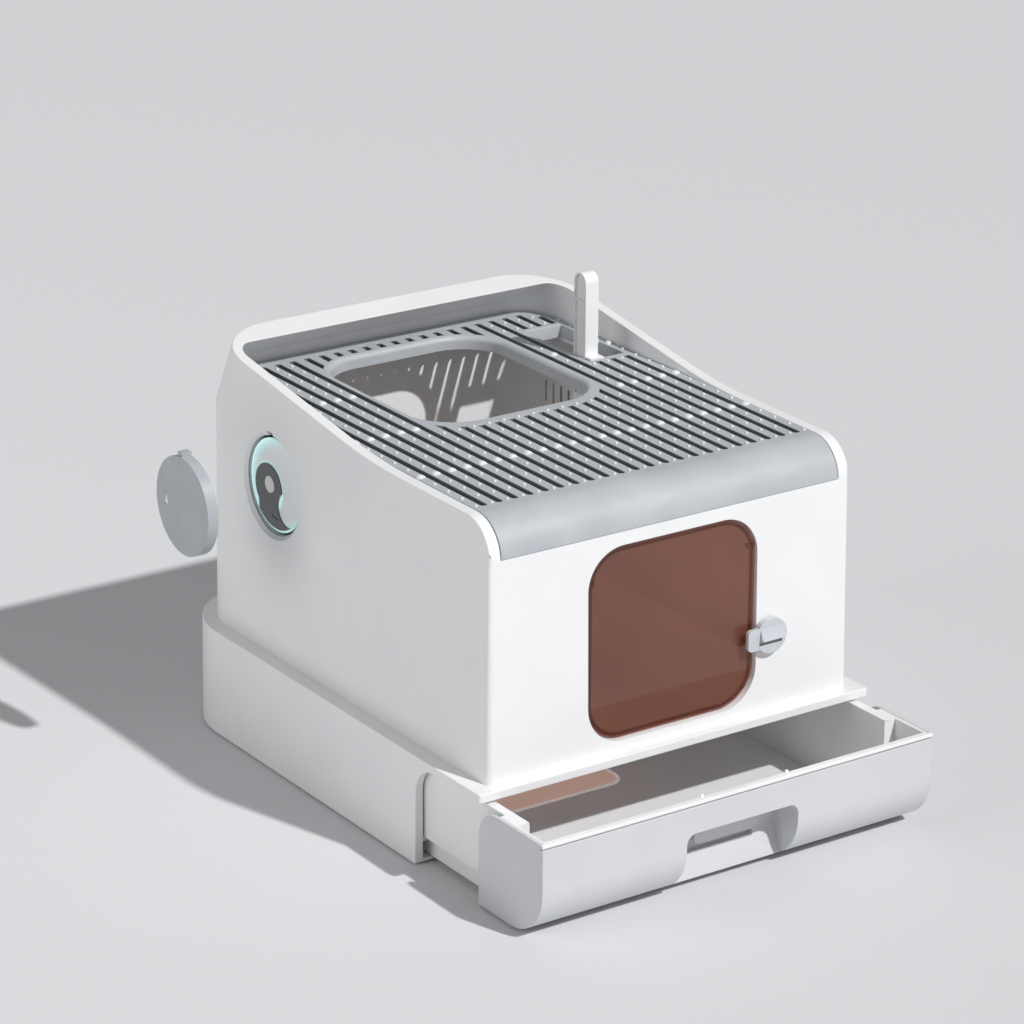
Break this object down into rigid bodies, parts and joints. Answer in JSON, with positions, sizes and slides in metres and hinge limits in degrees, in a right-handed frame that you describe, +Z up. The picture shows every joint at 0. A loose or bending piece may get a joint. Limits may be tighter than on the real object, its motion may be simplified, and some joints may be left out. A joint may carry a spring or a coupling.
{
  "type": "drawer litter box",
  "caption": "Covered litter box with a pull-out tray, a front swing flap, a slatted top lid with an entry hole, a side deodoriser port and a standing scoop.",
  "frame": {"origin": "on the floor, under the middle of the base", "axes": "+Z up, -Y towards the drawer's front, -X towards the deodoriser side"},
  "size_m": [0.4689, 0.5897, 0.398],
  "materials": {
    "white_abs": "smooth white ABS",
    "satin_abs": "fine satin grey ABS",
    "latch_abs": "smooth light grey ABS",
    "amber_acrylic": "tinted clear acrylic sheet",
    "frosted_lens": "frosted light guide",
    "slate_abs": "glossy dark grey face",
    "grey_abs": "grey ABS housing",
    "rail_pom": "slippery white acetal",
    "steel": "plain steel",
    "foot_rubber": "soft black rubber",
    "board_laminate": "green circuit laminate",
    "battery_wrap": "heat-shrink sleeve",
    "carbon_felt": "carbon felt pad",
    "label_paper": "printed label, left bare"
  },
  "bodies": {
    "base": {"base_shell": "white_abs", "base_feet": "foot_rubber", "drawer_rails": "rail_pom", "hood_shell": "white_abs", "hood_screws": "steel", "deodoriser_bay": "white_abs", "deodoriser_body": "grey_abs", "deodoriser_lens": "frosted_lens", "deodoriser_face": "slate_abs", "button_spring": "steel", "circuit_board": "board_laminate", "battery": "battery_wrap", "vent_panel": "rail_pom", "vent_pad": "carbon_felt"},
    "drawer": {"drawer_tray": "white_abs", "drawer_front": "white_abs", "front_screws": "steel", "drawer_label": "label_paper"},
    "flap": {"door_flap": "amber_acrylic", "flap_pins": "steel"},
    "latch": {"latch_knob": "latch_abs", "latch_spindle": "steel"},
    "cover": {"side_cover": "latch_abs"},
    "button": {"deodoriser_button": "latch_abs"},
    "lid": {"lid_panel": "satin_abs", "lid_pins": "steel"},
    "scoop": {"scoop": "white_abs"}
  },
  "joints": [
    {"name": "drawer_slide", "type": "slide", "parent": "base", "child": "drawer", "axis": [0, -1, 0], "range_m": [-0.09, 0.2]},
    {"name": "flap_swing", "type": "hinge", "parent": "base", "child": "flap", "pos_m": [0, -0.2337, 0.2485], "axis": [1, 0, 0], "range_deg": [0, 70]},
    {"name": "latch_turn", "type": "hinge", "parent": "base", "child": "latch", "pos_m": [0.0975, -0.2411, 0.1675], "axis": [0, 1, 0], "range_deg": [0, 90]},
    {"name": "cover_slide", "type": "slide", "parent": "base", "child": "cover", "axis": [1, 0, 0], "range_m": [0, 0.088]},
    {"name": "button_press", "type": "slide", "parent": "base", "child": "button", "axis": [1, 0, 0], "range_m": [0, 0.001], "stiffness_N_per_m": 600, "springref_m": -0.0005},
    {"name": "lid_open", "type": "hinge", "parent": "base", "child": "lid", "pos_m": [0, 0.1653, 0.3165], "axis": [-1, 0, 0], "range_deg": [0, 60]},
    {"name": "scoop_lift", "type": "slide", "parent": "lid", "child": "scoop", "axis": [0, 0, 1], "range_m": [0, 0.26]}
  ]
}
